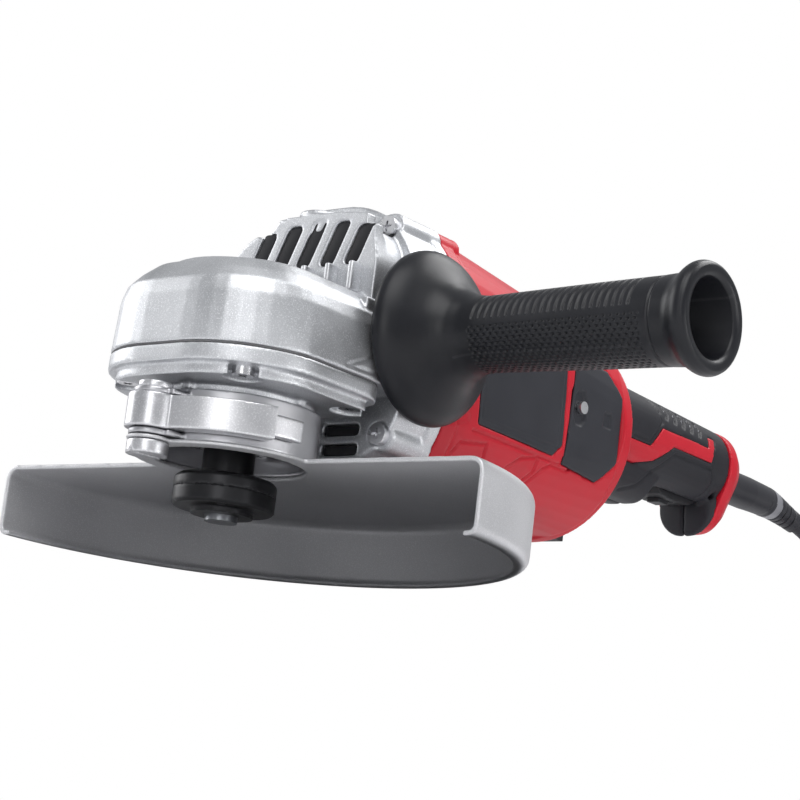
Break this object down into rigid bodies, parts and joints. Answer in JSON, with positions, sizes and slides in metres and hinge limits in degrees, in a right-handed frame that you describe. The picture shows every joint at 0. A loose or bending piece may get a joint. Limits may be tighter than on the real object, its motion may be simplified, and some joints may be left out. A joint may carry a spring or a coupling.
{
  "type": "angle grinder",
  "caption": "Large two-handed angle grinder with a half-round wheel guard on a quick clamp, a side handle and a swivelling rear grip with a long trigger and a mains cord.",
  "frame": {"origin": "centre of the spindle's free end", "axes": "+Z along the spindle from its free end into the gear head, +X along the motor towards the rear handle; the side handle points along -Y"},
  "size_m": [0.6664, 0.3195, 0.1571],
  "materials": {
    "cast_housing": "fine blasted die casting",
    "gasket_fibre": "thin fibre gasket",
    "zinc_screws": "bright zinc plate",
    "pressed_steel": "dull pressed steel",
    "bright_steel": "ground steel",
    "bronze": "turned bronze",
    "gear_steel": "hardened steel",
    "blackened_steel": "black oxide",
    "guard_steel": "silver lacquered sheet steel",
    "lever_alloy": "bright die casting",
    "handle_rubber": "satin moulded rubber",
    "black_plastic": "moulded, matt",
    "laminations": "stacked sheet",
    "copper": "enamelled wire",
    "carbon": "pressed carbon",
    "red_plastic": "satin moulded",
    "panel_plastic": "moulded, fine texture",
    "grip_rubber": "satin soft grip",
    "cord_rubber": "rubber sheath",
    "pin_brass": "nickel plated brass"
  },
  "bodies": {
    "housing": {"gear_housing": "cast_housing", "bearing_cover": "cast_housing", "cover_gasket": "gasket_fibre", "cover_screws": "zinc_screws", "housing_screws": "zinc_screws", "bearing_retainer": "pressed_steel", "retainer_screws": "zinc_screws", "lower_spindle_bearing": "bright_steel", "upper_spindle_bush": "bronze", "motor_housing": "red_plastic", "left_label_panel": "panel_plastic", "right_label_panel": "panel_plastic", "left_brush_cover": "panel_plastic", "right_brush_cover": "panel_plastic", "brush_cover_screws": "zinc_screws", "stator_core": "laminations", "stator_windings": "copper", "air_baffle": "black_plastic", "brush_holders": "bronze", "carbon_brushes": "carbon", "brush_springs": "bright_steel", "front_motor_bearing": "bright_steel", "rear_motor_bearing": "bright_steel", "spindle_lock_spring": "bright_steel", "latch_spring": "bright_steel", "strain_relief": "cord_rubber", "mains_cord": "cord_rubber", "cord_coil": "cord_rubber", "cord_tie": "cord_rubber", "plug_body": "cord_rubber", "plug_pins": "pin_brass"},
    "spindle": {"spindle": "bright_steel", "crown_gear": "gear_steel", "inner_flange": "blackened_steel"},
    "rotor": {"armature_shaft": "bright_steel", "pinion": "gear_steel", "fan": "black_plastic", "armature_core": "laminations", "armature_windings": "copper", "commutator": "copper"},
    "lock_nut": {"lock_nut": "blackened_steel"},
    "guard": {"guard_shell": "guard_steel", "guard_band": "pressed_steel", "lever_pivot": "lever_alloy"},
    "clamp_lever": {"clamp_lever": "lever_alloy"},
    "spindle_lock": {"spindle_lock_button": "black_plastic"},
    "side_handle": {"side_handle_grip": "handle_rubber", "side_handle_stud": "bright_steel"},
    "rear_handle": {"left_handle_shell": "grip_rubber", "right_handle_shell": "grip_rubber", "left_handle_trim": "red_plastic", "right_handle_trim": "red_plastic", "handle_screws": "zinc_screws", "handle_end_cap": "red_plastic", "switch_block": "black_plastic", "trigger_spring": "bright_steel"},
    "trigger": {"trigger": "black_plastic"},
    "lock_off": {"lock_off_slider": "black_plastic"},
    "swivel_latch": {"swivel_latch": "black_plastic"}
  },
  "joints": [
    {"name": "spindle_spin", "type": "hinge", "parent": "housing", "child": "spindle", "pos_m": [0, 0, 0], "axis": [0, 0, 1], "continuous": true},
    {"name": "rotor_spin", "type": "hinge", "parent": "housing", "child": "rotor", "pos_m": [0, 0, 0.089], "axis": [1, 0, 0], "continuous": true},
    {"name": "nut_off", "type": "slide", "parent": "spindle", "child": "lock_nut", "axis": [0, 0, -1], "range_m": [0, 0.018]},
    {"name": "guard_turn", "type": "hinge", "parent": "housing", "child": "guard", "pos_m": [0, 0, 0], "axis": [0, 0, 1], "range_deg": [-60, 60]},
    {"name": "clamp_open", "type": "hinge", "parent": "guard", "child": "clamp_lever", "pos_m": [-0.04333, 0.00379, 0], "axis": [0, 0, -1], "range_deg": [0, 100]},
    {"name": "spindle_lock_press", "type": "slide", "parent": "housing", "child": "spindle_lock", "axis": [0, 0, -1], "range_m": [0, 0.0038], "stiffness_N_per_m": 800, "springref_m": -0.002, "deforming": ["spindle_lock_spring"]},
    {"name": "side_handle_off", "type": "slide", "parent": "housing", "child": "side_handle", "axis": [0, -1, 0], "range_m": [0, 0.014]},
    {"name": "handle_swivel", "type": "hinge", "parent": "housing", "child": "rear_handle", "pos_m": [0, 0, 0.098], "axis": [1, 0, 0], "range_deg": [-90, 90]},
    {"name": "trigger_pull", "type": "hinge", "parent": "rear_handle", "child": "trigger", "pos_m": [0.306, 0, 0.085], "axis": [0, -1, 0], "range_deg": [0, 6], "stiffness_Nm_per_rad": 1.2, "springref_deg": -8.59, "deforming": ["trigger_spring"]},
    {"name": "lock_off_slide", "type": "slide", "parent": "trigger", "child": "lock_off", "axis": [1, 0, 0], "range_m": [0, 0.004], "stiffness_N_per_m": 300, "springref_m": -0.001},
    {"name": "swivel_latch_pull", "type": "slide", "parent": "housing", "child": "swivel_latch", "axis": [-1, 0, 0], "range_m": [0, 0.004], "stiffness_N_per_m": 400, "springref_m": -0.001, "deforming": ["latch_spring"]}
  ],
  "couplings": [
    {"joint": "rotor_spin", "follows": "spindle_spin", "ratio": 4.1}
  ]
}
